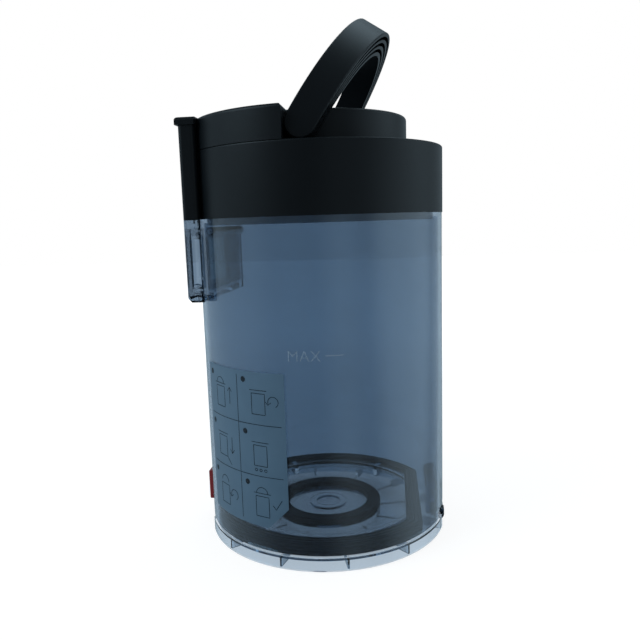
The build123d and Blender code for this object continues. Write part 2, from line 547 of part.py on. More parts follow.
def inlet_flap():
    """Clear flap behind the inlet port, hung from its top edge."""
    half = INLET_HALF_WIDTH + FLAP_OVERLAP - FLAP_LUG_WIDTH - FIT
    cover_half = INLET_HALF_WIDTH + FLAP_OVERLAP
    bottom = INLET_SILL - FLAP_OVERLAP
    face_end = FLAP_FACE_X + FLAP_THICKNESS
    leaf_top = FLAP_PIN_Z - FLAP_KNUCKLE_RADIUS - FIT
    flap = slab(FLAP_FACE_X, face_end, cover_half, bottom, leaf_top)
    flap += slab(FLAP_FACE_X, face_end, half, bottom, FLAP_PIN_Z)
    flap += rod(FLAP_PIN_X, FLAP_PIN_Z, FLAP_KNUCKLE_RADIUS, -half, half)
    return flap - rod(FLAP_PIN_X, FLAP_PIN_Z, FLAP_PIN_RADIUS + PIN_CLEARANCE, -half, half)


def flap_pin():
    """Steel pin that the inlet flap hangs on."""
    half = INLET_HALF_WIDTH + FLAP_OVERLAP
    return rod(FLAP_PIN_X, FLAP_PIN_Z, FLAP_PIN_RADIUS, -half, half)


def inlet_gasket():
    """Soft seal around the inlet port on the docking back."""
    return frame_groove(INLET_HALF_WIDTH, INLET_SILL, INLET_HEIGHT, GASKET_RECESS)


def outlet_gasket():
    """Soft seal around the outlet port on the docking back."""
    return frame_groove(OUTLET_HALF_WIDTH, OUTLET_SILL, OUTLET_HEIGHT, GASKET_RECESS)


def separator_outline(inset):
    """Outline of the separator plate, round with a flat along the docking back."""
    radius = SEPARATOR_RADIUS - inset
    return flatted(radius, radius, SEPARATOR_FLAT - inset)


def separator_plate():
    """Black plate that closes the dust chamber and carries the filter and the screen."""
    plate = band(separator_outline(0), COLLAR_BOTTOM, SEPARATOR_TOP)
    inner = separator_outline(COLLAR_SEAL_WIDTH + SEPARATOR_LIP)
    lip = separator_outline(COLLAR_SEAL_WIDTH) - inner
    plate += band(lip, COLLAR_BOTTOM - COLLAR_SEAL_HEIGHT, COLLAR_BOTTOM)
    plate -= disc(SCREEN_RADIUS - SCREEN_REST, COLLAR_BOTTOM, SEPARATOR_TOP)
    plate -= disc(SCREEN_RADIUS + PRESS, SEPARATOR_TOP - SCREEN_THICKNESS, SEPARATOR_TOP)
    for x, y in PLATE_SCREWS:
        plate -= disc(SCREW_HOLE, COLLAR_BOTTOM, SEPARATOR_TOP, x, y)
    return plate


def collar_seal():
    """Light grey seal around the lip of the separator plate."""
    outline = separator_outline(0) - separator_outline(COLLAR_SEAL_WIDTH)
    return band(outline, COLLAR_BOTTOM - COLLAR_SEAL_HEIGHT, COLLAR_BOTTOM)


def mesh_screen():
    """Square-hole screen in the middle of the separator plate."""
    screen = disc(SCREEN_RADIUS, SEPARATOR_TOP - SCREEN_THICKNESS, SEPARATOR_TOP)
    reach = SCREEN_RADIUS - SCREEN_REST - SCREEN_HOLE * math.sqrt(0.5)
    steps = int(SCREEN_RADIUS / SCREEN_PITCH)
    grid = [k * SCREEN_PITCH for k in range(-steps, steps + 1)]
    holes = [(x, y) for x in grid for y in grid if math.hypot(x, y) < reach]
    squares = Sketch() + [Pos(x, y) * Rectangle(SCREEN_HOLE, SCREEN_HOLE) for x, y in holes]
    return screen - band(squares, SEPARATOR_TOP - SCREEN_THICKNESS, SEPARATOR_TOP)


def filter_frame():
    """Filter cage: base ring, closed top cap and upright bars."""
    base = SEPARATOR_TOP + FILTER_SEAL_HEIGHT
    outer = FILTER_RADIUS + FILTER_BAR
    frame = ring(outer, FILTER_INNER_RADIUS - FILTER_BAR, base, base + FILTER_CAP)
    frame += disc(outer, FILTER_TOP - FILTER_CAP, FILTER_TOP)
    bar = Pos(FILTER_RADIUS + FILTER_BAR / 2, 0, (base + FILTER_TOP) / 2)
    for k in range(FILTER_BAR_COUNT):
        turn = Rot(0, 0, 360 / FILTER_BAR_COUNT * k)
        frame += turn * bar * Box(FILTER_BAR, 2 * FILTER_BAR, FILTER_TOP - base)
    return frame & disc(outer, base, FILTER_TOP)


def filter_media():
    """Pleated filter ring, a star of folds between the base ring and the cap."""
    outer = FILTER_RADIUS - FIT
    step = math.pi / PLEAT_COUNT
    radii = (outer, FILTER_INNER_RADIUS + 2 * FILTER_BAR)
    turns = [(radii[k % 2], k * step) for k in range(2 * PLEAT_COUNT)]
    folds = [(radius * math.cos(turn), radius * math.sin(turn)) for radius, turn in turns]
    star = make_face(Polyline(*folds, close=True)) - Circle(FILTER_INNER_RADIUS)
    base = SEPARATOR_TOP + FILTER_SEAL_HEIGHT + FILTER_CAP
    return band(star, base, FILTER_TOP - FILTER_CAP)


def filter_seal():
    """Ring seal between the filter cage and the separator plate."""
    return ring(FILTER_RADIUS, SCREEN_RADIUS + FILTER_BAR, SEPARATOR_TOP, SEPARATOR_TOP + FILTER_SEAL_HEIGHT)


def screw_set(centres, seat):
    """Pan-head screws driven upwards, with their heads under the seat."""
    slot = SCREW_HEAD_RADIUS / 4
    screws = []
    for x, y in centres:
        head = disc(SCREW_HEAD_RADIUS, seat - SCREW_HEAD_HEIGHT, seat, x, y)
        recess = Box(SCREW_HEAD_RADIUS, slot, SCREW_HEAD_HEIGHT)
        recess += Box(slot, SCREW_HEAD_RADIUS, SCREW_HEAD_HEIGHT)
        head -= Pos(x, y, seat - SCREW_HEAD_HEIGHT) * recess
        screws.append(head + disc(SCREW_RADIUS, seat, seat + SCREW_LENGTH, x, y))
    return Compound(children=screws)


def instruction_label():
    """Thin film on the near side of the tube with one lower corner cut off."""
    outer = TUBE_RADIUS + LABEL_THICKNESS
    film = ring(outer, TUBE_RADIUS + LABEL_GAP, LABEL_BOTTOM, LABEL_TOP)
    span = LABEL_END - LABEL_START
    reach = 2 * TUBE_RADIUS
    wedge = Polyline(
        (0, 0),
        (0, -reach),
        (-reach * math.tan(math.radians(span)), -reach),
        close=True,
    )
    sector = band(make_face(wedge), LABEL_BOTTOM, LABEL_TOP)
    film &= Rot(0, 0, -LABEL_START) * sector
    turn = math.radians(LABEL_START)
    corner = Pos(-outer * math.sin(turn), -outer * math.cos(turn), LABEL_BOTTOM)
    cut = Rot(0, 45, 0) * Box(LABEL_CUT * math.sqrt(2), LABEL_CUT, LABEL_CUT * math.sqrt(2))
    return film - corner * Rot(0, 0, -LABEL_START) * cut


PARTS = {
    "dust_cup": dust_cup(),
    "collar_ring": collar_ring(),
    "top_cover": top_cover(),
    "cover_screws": screw_set(COVER_SCREWS, COLLAR_PLATE_BOTTOM),
    "handle": handle(),
    "handle_pin_front": handle_pin(-1),
    "handle_pin_rear": handle_pin(1),
    "bottom_door": bottom_door(),
    "door_seal": door_seal(),
    "centre_seal": centre_seal(),
    "door_hinge_pin": door_hinge_pin(),
    "latch_button": latch_button(),
    "latch_pin": latch_pin(),
    "latch_spring": latch_spring(),
    "inlet_flap": inlet_flap(),
    "flap_pin": flap_pin(),
    "inlet_gasket": inlet_gasket(),
    "outlet_gasket": outlet_gasket(),
    "separator_plate": separator_plate(),
    "separator_screws": screw_set(PLATE_SCREWS, COLLAR_BOTTOM),
    "collar_seal": collar_seal(),
    "mesh_screen": mesh_screen(),
    "filter_frame": filter_frame(),
    "filter_media": filter_media(),
    "filter_seal": filter_seal(),
    "instruction_label": instruction_label(),
}

os.makedirs("parts", exist_ok=True)
for name, shape in PARTS.items():
    export_step(shape, f"parts/{name}.step")
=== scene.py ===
"""Looks of the docking station dust bin: finishes, printed marks, rubber lips, studio and camera."""
import logging
import math
from dataclasses import dataclass
from enum import Enum
from typing import Dict, List, Optional, Sequence, Tuple, Union

import bmesh
import bpy
import numpy as np
from mathutils import Matrix, Vector


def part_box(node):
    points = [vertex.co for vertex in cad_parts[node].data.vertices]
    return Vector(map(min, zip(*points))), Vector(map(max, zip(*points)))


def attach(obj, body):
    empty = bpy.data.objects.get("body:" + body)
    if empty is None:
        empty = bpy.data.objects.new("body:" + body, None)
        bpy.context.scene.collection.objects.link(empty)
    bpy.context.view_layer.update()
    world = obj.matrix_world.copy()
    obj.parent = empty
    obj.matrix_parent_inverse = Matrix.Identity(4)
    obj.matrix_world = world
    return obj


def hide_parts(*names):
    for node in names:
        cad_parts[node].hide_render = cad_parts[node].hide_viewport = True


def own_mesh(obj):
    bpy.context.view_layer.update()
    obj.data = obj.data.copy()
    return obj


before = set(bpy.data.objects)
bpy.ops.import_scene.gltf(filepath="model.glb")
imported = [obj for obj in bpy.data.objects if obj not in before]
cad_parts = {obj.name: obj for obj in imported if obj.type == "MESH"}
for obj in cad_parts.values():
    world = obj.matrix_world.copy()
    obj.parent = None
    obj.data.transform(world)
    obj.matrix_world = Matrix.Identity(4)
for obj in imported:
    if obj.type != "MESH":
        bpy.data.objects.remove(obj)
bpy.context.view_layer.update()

LOG = logging.getLogger("dust_bin")
MM = 0.001
MIDDLE = 0.5
TINY = 1e-6
DECIMETRES_FROM_AXIS = (10.0, 10.0, 0.0)

Colour = Tuple[float, float, float]
Place = Tuple[float, float, float]
Faces = List[List[int]]
Stops = Sequence[Tuple[float, float]]
Value = Union[float, Sequence[float], "Socket"]


class Body(Enum):
    """The moving bodies that a piece can ride on."""

    BIN = "bin"
    DOOR = "door"


class Slot(Enum):
    """Names of the record's material slots."""

    CLEAR = "clear_smoke"
    RUBBER = "black_rubber"
    LABEL = "label_film"
    STEEL = "pin_steel"


class Socket:
    """One output of a shader node, with Python operators that add Math nodes."""

    def __init__(self, graph: "Graph", output: bpy.types.NodeSocket) -> None:
        """Wraps an output socket.

        Args:
            graph: The graph that the socket is in.
            output: The node's output socket.
        """
        self.graph = graph
        self.output = output

    def _math(self, operation: str, first: Value, second: Value) -> "Socket":
        """Adds a Math node.

        Args:
            operation: The Math node's operation.
            first: First value or socket.
            second: Second value or socket.

        Returns:
            The result.
        """
        return self.graph.node("ShaderNodeMath", {"operation": operation}, {0: first, 1: second})

    def __add__(self, other: Value) -> "Socket":
        """This value plus another."""
        return self._math("ADD", self, other)

    def __radd__(self, other: Value) -> "Socket":
        """Another value plus this one."""
        return self._math("ADD", other, self)

    def __sub__(self, other: Value) -> "Socket":
        """This value less another."""
        return self._math("SUBTRACT", self, other)

    def __rsub__(self, other: Value) -> "Socket":
        """Another value less this one."""
        return self._math("SUBTRACT", other, self)

    def __mul__(self, other: Value) -> "Socket":
        """This value times another."""
        return self._math("MULTIPLY", self, other)

    def __rmul__(self, other: Value) -> "Socket":
        """Another value times this one."""
        return self._math("MULTIPLY", other, self)

    def power(self, exponent: float) -> "Socket":
        """This value to a power."""
        return self._math("POWER", self, exponent)

    def largest(self, other: Value) -> "Socket":
        """The larger of this value and another."""
        return self._math("MAXIMUM", self, other)


class Graph:
    """A node tree, with one method that adds any node."""

    def __init__(self, tree: bpy.types.NodeTree) -> None:
        """Empties a node tree.

        Args:
            tree: The tree of a material or of the world.
        """
        self.tree = tree
        self.tree.nodes.clear()

    def node(
        self,
        kind: str,
        settings: Optional[Dict[str, object]] = None,
        sockets: Optional[Dict[Union[int, str], Value]] = None,
        output: Union[int, str] = 0,
    ) -> Socket:
        """Adds a node.

        Args:
            kind: The node's type.
            settings: Properties, set first; "stops" holds a colour ramp's (position, value) pairs.
            sockets: Values or links of its inputs.
            output: Which output to return.

        Returns:
            The chosen output.
        """
        node = self.tree.nodes.new(kind)
        for key, setting in (settings or {}).items():
            if key == "stops":
                self._ramp(node, setting)
            else:
                setattr(node, key, setting)
        for key, value in (sockets or {}).items():
            self.feed(node.inputs[key], value)
        return Socket(self, node.outputs[output])

    @staticmethod
    def _ramp(node: bpy.types.Node, stops: Stops) -> None:
        """Sets a colour ramp's stops, with soft steps between them.

        Args:
            node: The Color Ramp node.
            stops: Pairs of position and grey value.
        """
        node.color_ramp.interpolation = "EASE"
        elements = node.color_ramp.elements
        while len(elements) < len(stops):
            elements.new(1.0)
        for element, (position, grey) in zip(elements, stops):
            element.position = position
            element.color = (grey, grey, grey, 1.0)

    def feed(self, target: bpy.types.NodeSocket, value: Value) -> None:
        """Links a socket to an input, or sets its value.

        Args:
            target: The input.
            value: A socket, a number, a colour or a vector.
        """
        if isinstance(value, Socket):
            self.tree.links.new(value.output, target)
            return
        if isinstance(value, (int, float)):
            target.default_value = value
            return
        target.default_value = tuple(value) + (1.0,) * (len(target.default_value) - len(value))

    def end(self, kind: str, shader: Socket) -> None:
        """Adds the output node.

        Args:
            kind: The output node's type.
            shader: What it shows.
        """
        output = self.tree.nodes.new(kind)
        self.tree.links.new(shader.output, output.inputs["Surface"])


@dataclass(frozen=True)
class Pattern:
    """A noise on Object coordinates: waves per metre, octaves, and scale along X, Y and Z."""

    scale: float
    detail: float
    stretch: Sequence[float] = (1.0, 1.0, 1.0)


class Shader(Graph):
    """A material's node tree around one Principled surface."""

    def __init__(self, name: str) -> None:
        """Makes an empty material with a Principled surface.

        Args:
            name: The material's name.
        """
        self.material = bpy.data.materials.new(name)
        self.material.use_nodes = True
        super().__init__(self.material.node_tree)
        self.surface = self.tree.nodes.new("ShaderNodeBsdfPrincipled")
        self.end("ShaderNodeOutputMaterial", Socket(self, self.surface.outputs[0]))

    def set(self, **inputs: Value) -> None:
        """Sets or links inputs of the Principled surface.

        Args:
            inputs: Input names in lower case with underscores, and their values.
        """
        names = {socket.name.lower().replace(" ", "_"): socket for socket in self.surface.inputs}
        for name, value in inputs.items():
            self.feed(names[name], value)

    def place(self, scale: Sequence[float]) -> Socket:
        """Object coordinates, scaled along X, Y and Z.

        Args:
            scale: The three scales.

        Returns:
            The place as a vector.
        """
        place = self.node("ShaderNodeTexCoord", output="Object")
        return self.node("ShaderNodeMapping", sockets={"Vector": place, "Scale": scale})

    def noise(self, pattern: Pattern) -> Socket:
        """Adds a noise.

        Args:
            pattern: Its scale, detail and stretch.

        Returns:
            A value about the middle of 0 and 1.
        """
        sockets = {"Vector": self.place(pattern.stretch), "Scale": pattern.scale, "Detail": pattern.detail}
        return self.node("ShaderNodeTexNoise", sockets=sockets, output="Fac")

    def blend(self, factor: Value, first: Value, second: Value) -> Socket:
        """Mixes two colours.

        Args:
            factor: 0 gives the first colour and 1 the second.
            first: First colour.
            second: Second colour.

        Returns:
            The mixed colour.
        """
        return self.node(
            "ShaderNodeMix",
            {"data_type": "RGBA"},
            {"Factor": factor, 6: first, 7: second},
            output=2,
        )

    def bump(self, height: Socket, distance: float, strength: float) -> Socket:
        """A Bump node for the Normal input.

        Args:
            height: The height, 0 to 1.
            distance: Depth in metres at height 1.
            strength: Strength of the effect.

        Returns:
            The bent normal.
        """
        return self.node(
            "ShaderNodeBump", sockets={"Height": height, "Distance": distance, "Strength": strength}
        )


def shaded(colour: Colour, share: float) -> Colour:
    """A colour times a share."""
    return tuple(share * part for part in colour)


@dataclass(frozen=True)
class ClearPlastic:
    """Smoke-blue clear plastic with faint smears, and painted shade: a darker tint in a zone set by
    decimetres from the axis.
    """

    name: str = "clear_smoke_plastic"
    colour: Colour = (0.207, 0.288, 0.378)
    smear_colour: Colour = (0.221, 0.302, 0.392)
    # Painted shade: a darker tint mixed in by distance from the axis alone.
    painted_shade_colour: Colour = (0.13, 0.19, 0.265)
    painted_shade_zone: Stops = ((0.79, 0.0), (0.8, 1.0))
    cloud: Pattern = Pattern(scale=9.0, detail=3.0)
    smear: Pattern = Pattern(scale=26.0, detail=5.0, stretch=(1.0, 1.0, 0.25))
    smear_contrast: float = 3.0
    smear_roughness: float = 0.04
    ior: float = 1.49

    def build(self) -> bpy.types.Material:
        """Makes the material.

        Returns:
            The clear material, a little uneven in tint and gloss, with painted shade: a darker tint in a zone
            by distance from the axis.
        """
        shader = Shader(self.name)
        tint = shader.blend(shader.noise(self.cloud), self.colour, self.smear_colour)
        flat = shader.place(DECIMETRES_FROM_AXIS)
        from_axis = shader.node("ShaderNodeVectorMath", {"operation": "LENGTH"}, {0: flat}, output="Value")
        # Painted shade: a ramp over the distance from the axis mixes in the darker painted-shade colour.
        painted_shade_share = shader.node("ShaderNodeValToRGB", {"stops": self.painted_shade_zone}, {"Fac": from_axis})
        shader.set(
            base_color=shader.blend(painted_shade_share, tint, self.painted_shade_colour),
            roughness=shader.noise(self.smear).power(self.smear_contrast) * self.smear_roughness,
            ior=self.ior,
            transmission_weight=1.0,
        )
        return shader.material


@dataclass(frozen=True)
class SatinPlastic:
    """Moulded plastic with a fine spark-eroded grain."""

    name: str
    colour: Colour
    worn_colour: Colour
    roughness: float
    grain_depth: float
    specular: float = 0.5
    cloud: Pattern = Pattern(scale=18.0, detail=4.0)
    cloud_roughness: float = 0.12
    grain: Pattern = Pattern(scale=2600.0, detail=2.0)
    grain_roughness: float = 0.1
    grain_strength: float = 0.35

    def build(self) -> bpy.types.Material:
        """Makes the material.

        Returns:
            The moulded plastic with cloudy tint, uneven gloss and a fine grain.
        """
        shader = Shader(self.name)
        cloud = shader.noise(self.cloud)
        grain = shader.noise(self.grain)
        uneven = (cloud - MIDDLE) * self.cloud_roughness + (grain - MIDDLE) * self.grain_roughness
        shader.set(
            base_color=shader.blend(cloud, self.colour, self.worn_colour),
            roughness=self.roughness + uneven,
            specular_ior_level=self.specular,
            normal=shader.bump(grain, self.grain_depth, self.grain_strength),
        )
        return shader.material


@dataclass(frozen=True)
class SoftRubber:
    """Soft rubber with a dusty bloom."""

    name: str
    colour: Colour
    bloom: Colour
    roughness: float = 0.55
    specular: float = 0.15
    patch: Pattern = Pattern(scale=60.0, detail=6.0)
    patch_contrast: float = 2.0
    patch_roughness: float = 0.2
    skin: Pattern = Pattern(scale=1500.0, detail=2.0)
    skin_depth: float = 0.1 * MM
    skin_strength: float = 0.3

    def build(self) -> bpy.types.Material:
        """Makes the material.

        Returns:
            The rubber with a pale bloom in patches.
        """
        shader = Shader(self.name)
        patch = shader.noise(self.patch)
        shader.set(
            base_color=shader.blend(patch.power(self.patch_contrast), self.colour, self.bloom),
            roughness=self.roughness + (patch - MIDDLE) * self.patch_roughness,
            specular_ior_level=self.specular,
            normal=shader.bump(shader.noise(self.skin), self.skin_depth, self.skin_strength),
        )
        return shader.material


@dataclass(frozen=True)
class BrightSteel:
    """Drawn steel with fine lines."""

    name: str
    colour: Colour
    roughness: float = 0.28
    lines: Pattern = Pattern(scale=900.0, detail=3.0, stretch=(1.0, 0.05, 1.0))
    line_shade: float = 0.8
    line_roughness: float = 0.2
    line_depth: float = 0.05 * MM
    line_strength: float = 0.3

    def build(self) -> bpy.types.Material:
        """Makes the material.

        Returns:
            The steel with lines along one axis.
        """
        shader = Shader(self.name)
        lines = shader.noise(self.lines)
        shader.set(
            base_color=shader.blend(lines, self.colour, shaded(self.colour, self.line_shade)),
            metallic=1.0,
            roughness=self.roughness + (lines - MIDDLE) * self.line_roughness,
            normal=shader.bump(lines, self.line_depth, self.line_strength),
        )
        return shader.material


@dataclass(frozen=True)
class FilterPaper:
    """Fibrous filter paper."""

    name: str = "filter_paper"
    colour: Colour = (0.72, 0.72, 0.68)
    dusty: Colour = (0.52, 0.52, 0.5)
    dust: Pattern = Pattern(scale=40.0, detail=5.0)
    fibre: Pattern = Pattern(scale=1800.0, detail=4.0, stretch=(1.0, 1.0, 0.3))
    roughness: float = 0.85
    fibre_roughness: float = 0.1
    fibre_depth: float = 0.2 * MM
    fibre_strength: float = 0.5

    def build(self) -> bpy.types.Material:
        """Makes the material.

        Returns:
            Pale paper with fibres and some dust.
        """
        shader = Shader(self.name)
        fibre = shader.noise(self.fibre)
        shader.set(
            base_color=shader.blend(shader.noise(self.dust), self.colour, self.dusty),
            roughness=self.roughness + (fibre - MIDDLE) * self.fibre_roughness,
            normal=shader.bump(fibre, self.fibre_depth, self.fibre_strength),
        )
        return shader.material


@dataclass(frozen=True)
class TranslucentSkin:
    """Thin translucent film or soft clear rubber."""

    name: str
    colour: Colour
    pale: Colour
    cover: float
    haze: Pattern = Pattern(scale=45.0, detail=5.0)
    haze_cover: float = 0.1
    roughness: float = 0.32
    haze_roughness: float = 0.15

    def build(self) -> bpy.types.Material:
        """Makes the material.

        Returns:
            The skin, partly clear, with an uneven haze.
        """
        shader = Shader(self.name)
        haze = shader.noise(self.haze)
        shader.set(
            base_color=shader.blend(haze, self.colour, self.pale),
            roughness=self.roughness + (haze - MIDDLE) * self.haze_roughness,
            alpha=self.cover + (haze - MIDDLE) * self.haze_cover,
        )
        return shader.material


@dataclass(frozen=True)
class PrintInk:
    """Thin ink of one tone with worn spots."""

    name: str
    colour: Colour
    cover: float
    spots: Pattern = Pattern(scale=500.0, detail=3.0)
    spot_cover: float = 0.2
    spot_shade: float = 0.85
    roughness: float = 0.5

    def build(self) -> bpy.types.Material:
        """Makes the material.

        Returns:
            The ink, partly clear where it is thin.
        """
        shader = Shader(self.name)
        spots = shader.noise(self.spots)
        shader.set(
            base_color=shader.blend(spots, self.colour, shaded(self.colour, self.spot_shade)),
            roughness=self.roughness,
            alpha=self.cover + (spots - MIDDLE) * self.spot_cover,
        )
        return shader.material


Finish = Union[ClearPlastic, SatinPlastic, SoftRubber, BrightSteel, FilterPaper, TranslucentSkin, PrintInk]


@dataclass(frozen=True)
class Tube:
    """The round wall that marks and films lie on; lengths in metres."""

    radius: float
    ink: float = 0.05 * MM

    def wrap(self, across: np.ndarray, height: np.ndarray, proud: Union[float, np.ndarray]) -> np.ndarray:
        """Bends flat points round the tube: the angle is the arc length over the radius, from the front.

        Args:
            across: Arc lengths from the front line, positive to +X.
            height: Heights above the floor.
            proud: Distance outside the wall.

        Returns:
            Points, with X, Y and Z in the last axis.
        """
        angle = across / self.radius
        reach = self.radius + proud
        return np.stack([reach * np.sin(angle), -reach * np.cos(angle), height], axis=-1)

    def band(self, path: np.ndarray, width: float, proud: float) -> np.ndarray:
        """Lays ink along a line: half the width to both sides, along the mean normal, at top and foot.

        Args:
            path: Points of the flat line, two numbers each.
            width: The band's width.
            proud: Distance of its top outside the wall.

        Returns:
            A ring of four points for each point of the line.
        """
        along = np.gradient(path, axis=0)
        along = along / np.linalg.norm(along, axis=1, keepdims=True)
        side = np.stack([-along[:, 1], along[:, 0]], axis=1) * width / 2
        foot = proud - self.ink
        edges = [(path - side, proud), (path + side, proud), (path + side, foot), (path - side, foot)]
        return np.stack([self.wrap(edge[:, 0], edge[:, 1], level) for edge, level in edges], axis=1)


def add_object(name: str, data: bpy.types.ID) -> bpy.types.Object:
    """Puts an object at the origin of the scene.

    Args:
        name: The object's name.
        data: Its mesh, curve, lamp or camera.

    Returns:
        The object.
    """
    thing = bpy.data.objects.new(name, data)
    bpy.context.scene.collection.objects.link(thing)
    return thing


def mount(name: str, mesh: bpy.types.Mesh, body: Body) -> bpy.types.Object:
    """Makes a piece of a finished mesh and lets it ride on a body.

    Args:
        name: The piece's name.
        mesh: Its mesh, with its material.
        body: The body it rides on.

    Returns:
        The object.
    """
    piece = add_object(name, mesh)
    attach(piece, body.value)
    LOG.info("piece %s: %d faces on %s", name, len(mesh.polygons), body.value)
    return piece


def make_piece(
    name: str,
    points: np.ndarray,
    faces: Faces,
    material: bpy.types.Material,
    body: Body,
    smooth: bool = True,
) -> bpy.types.Object:
    """Puts points and faces into a mesh object and lets it ride on a body.

    Args:
        name: The piece's name.
        points: Vertices, one per row, in metres.
        faces: Vertex numbers of each face.
        material: The finish.
        body: The body it rides on.
        smooth: Whether faces are shaded smooth.

    Returns:
        The object.
    """
    mesh = bpy.data.meshes.new(name)
    mesh.from_pydata(points.reshape(-1, 3), [], faces)
    mesh.polygons.foreach_set("use_smooth", np.full(len(mesh.polygons), smooth))
    mesh.materials.append(material)
    mesh.update()
    return mount(name, mesh, body)


def close_seams(mesh: bpy.types.Mesh, reach: float = MM / 1000) -> None:
    """Joins points that lie on each other and turns all faces outwards.

    Args:
        mesh: The mesh to close.
        reach: Greatest distance between points that are joined.
    """
    work = bmesh.new()
    work.from_mesh(mesh)
    bmesh.ops.remove_doubles(work, verts=work.verts, dist=reach)
    bmesh.ops.recalc_face_normals(work, faces=work.faces)
    work.to_mesh(mesh)
    work.free()


def ring_faces(rows: int, columns: int, joined: bool = False) -> Faces:
    """Faces over rings of points, numbered ring by ring, closed all round.

    Args:
        rows: Number of rings.
        columns: Number of points in a ring.
        joined: Whether the last ring joins the first; otherwise one face closes each end.

    Returns:
        Vertex numbers, four per face but for the ends.
    """
    row = np.arange(rows if joined else rows - 1)[:, None]
    column = np.arange(columns)[None, :]
    next_row = (row + 1) % rows
    next_column = (column + 1) % columns
    corners = [(row, column), (next_row, column), (next_row, next_column), (row, next_column)]
    quads = np.stack([r * columns + c for r, c in corners], axis=-1).reshape(-1, 4).tolist()
    ring = np.arange(columns)
    ends = [ring.tolist(), (ring + (rows - 1) * columns)[::-1].tolist()]
    return quads if joined else quads + ends


def shifted(faces: Faces, count: int) -> Faces:
    """Faces with a number added to each vertex number."""
    return [[vertex + count for vertex in face] for face in faces]


def full_turn(count: int) -> np.ndarray:
    """Angles in equal steps once round, without the last, which is the first again."""
    return np.linspace(0.0, 2 * np.pi, count + 1)[:-1]


def arc(centre: Sequence[float], radius: float, start: float, end: float, count: int = 24) -> np.ndarray:
    """Points of a circular arc.

    Args:
        centre: Its centre.
        radius: Its radius.
        start: First angle in degrees.
        end: Last angle in degrees.
        count: Number of points.

    Returns:
        Points, two numbers each.
    """
    angle = np.radians(np.linspace(start, end, count))
    return np.stack([centre[0] + radius * np.cos(angle), centre[1] + radius * np.sin(angle)], axis=1)


def polyline(*corners: Sequence[float], step: float = 1.0) -> np.ndarray:
    """Points along straight runs, close enough to follow the tube's wall.

    Args:
        corners: The corners in order.
        step: Greatest distance between points.

    Returns:
        Points, two numbers each.
    """
    knots = np.asarray(corners, dtype=float)
    lengths = np.linalg.norm(np.diff(knots, axis=0), axis=1)
    stations = np.concatenate([[0.0], np.cumsum(lengths)])
    wanted = np.union1d(stations, np.linspace(0.0, stations[-1], int(stations[-1] / step) + 2))
    return np.stack([np.interp(wanted, stations, knots[:, k]) for k in range(2)], axis=1)


@dataclass
class Marks:
    """The fill mark moulded on the front of the tube."""

    tube: Tube
    height: float = 127.5 * MM
    letter_height: float = 6.6 * MM
    letters_start: float = -10.6 * MM
    line_start: float = 10.4 * MM
    line_end: float = 20.4 * MM
    line_width: float = 0.5 * MM
    proud: float = 0.12 * MM
    font_cap: float = 0.73
    thinner: float = 0.02
    ink: PrintInk = PrintInk("fill_mark_ink", (0.3, 0.37, 0.43), cover=0.3)

    def letters(self, material: bpy.types.Material) -> None:
        """Sets the generic word MAX, as thick as ink, and bends it round the tube.

        Args:
            material: The ink.
        """
        curve = bpy.data.curves.new("fill_mark_text", "FONT")
        curve.body = "MAX"
        curve.size = self.letter_height / self.font_cap
        curve.offset = -self.thinner * curve.size
        curve.extrude = self.tube.ink / 2
        holder = add_object("fill_mark_text", curve)
        depsgraph = bpy.context.evaluated_depsgraph_get()
        flat = bpy.data.meshes.new_from_object(holder.evaluated_get(depsgraph))
        coords = np.empty(len(flat.vertices) * 3)
        flat.vertices.foreach_get("co", coords)
        coords = coords.reshape(-1, 3)
        across = self.letters_start + coords[:, 0] - coords[:, 0].min()
        height = self.height - self.letter_height / 2 + coords[:, 1]
        proud = self.proud - self.tube.ink / 2 + coords[:, 2]
        flat.vertices.foreach_set("co", self.tube.wrap(across, height, proud).ravel())
        close_seams(flat)
        flat.materials.clear()
        flat.materials.append(material)
        flat.update()
        bpy.data.objects.remove(holder)
        mount("fill_mark_letters", flat, Body.BIN)

    def line(self, material: bpy.types.Material) -> None:
        """Draws the short level line beside the letters, a narrow band on the wall.

        Args:
            material: The ink.
        """
        path = polyline((self.line_start, self.height), (self.line_end, self.height), step=MM)
        points = self.tube.band(path, self.line_width, self.proud)
        faces = ring_faces(*points.shape[:2])
        make_piece("fill_mark_line", points, faces, material, Body.BIN, smooth=False)

    def build(self) -> None:
        """Makes the letters and the line."""
        material = self.ink.build()
        self.letters(material)
        self.line(material)


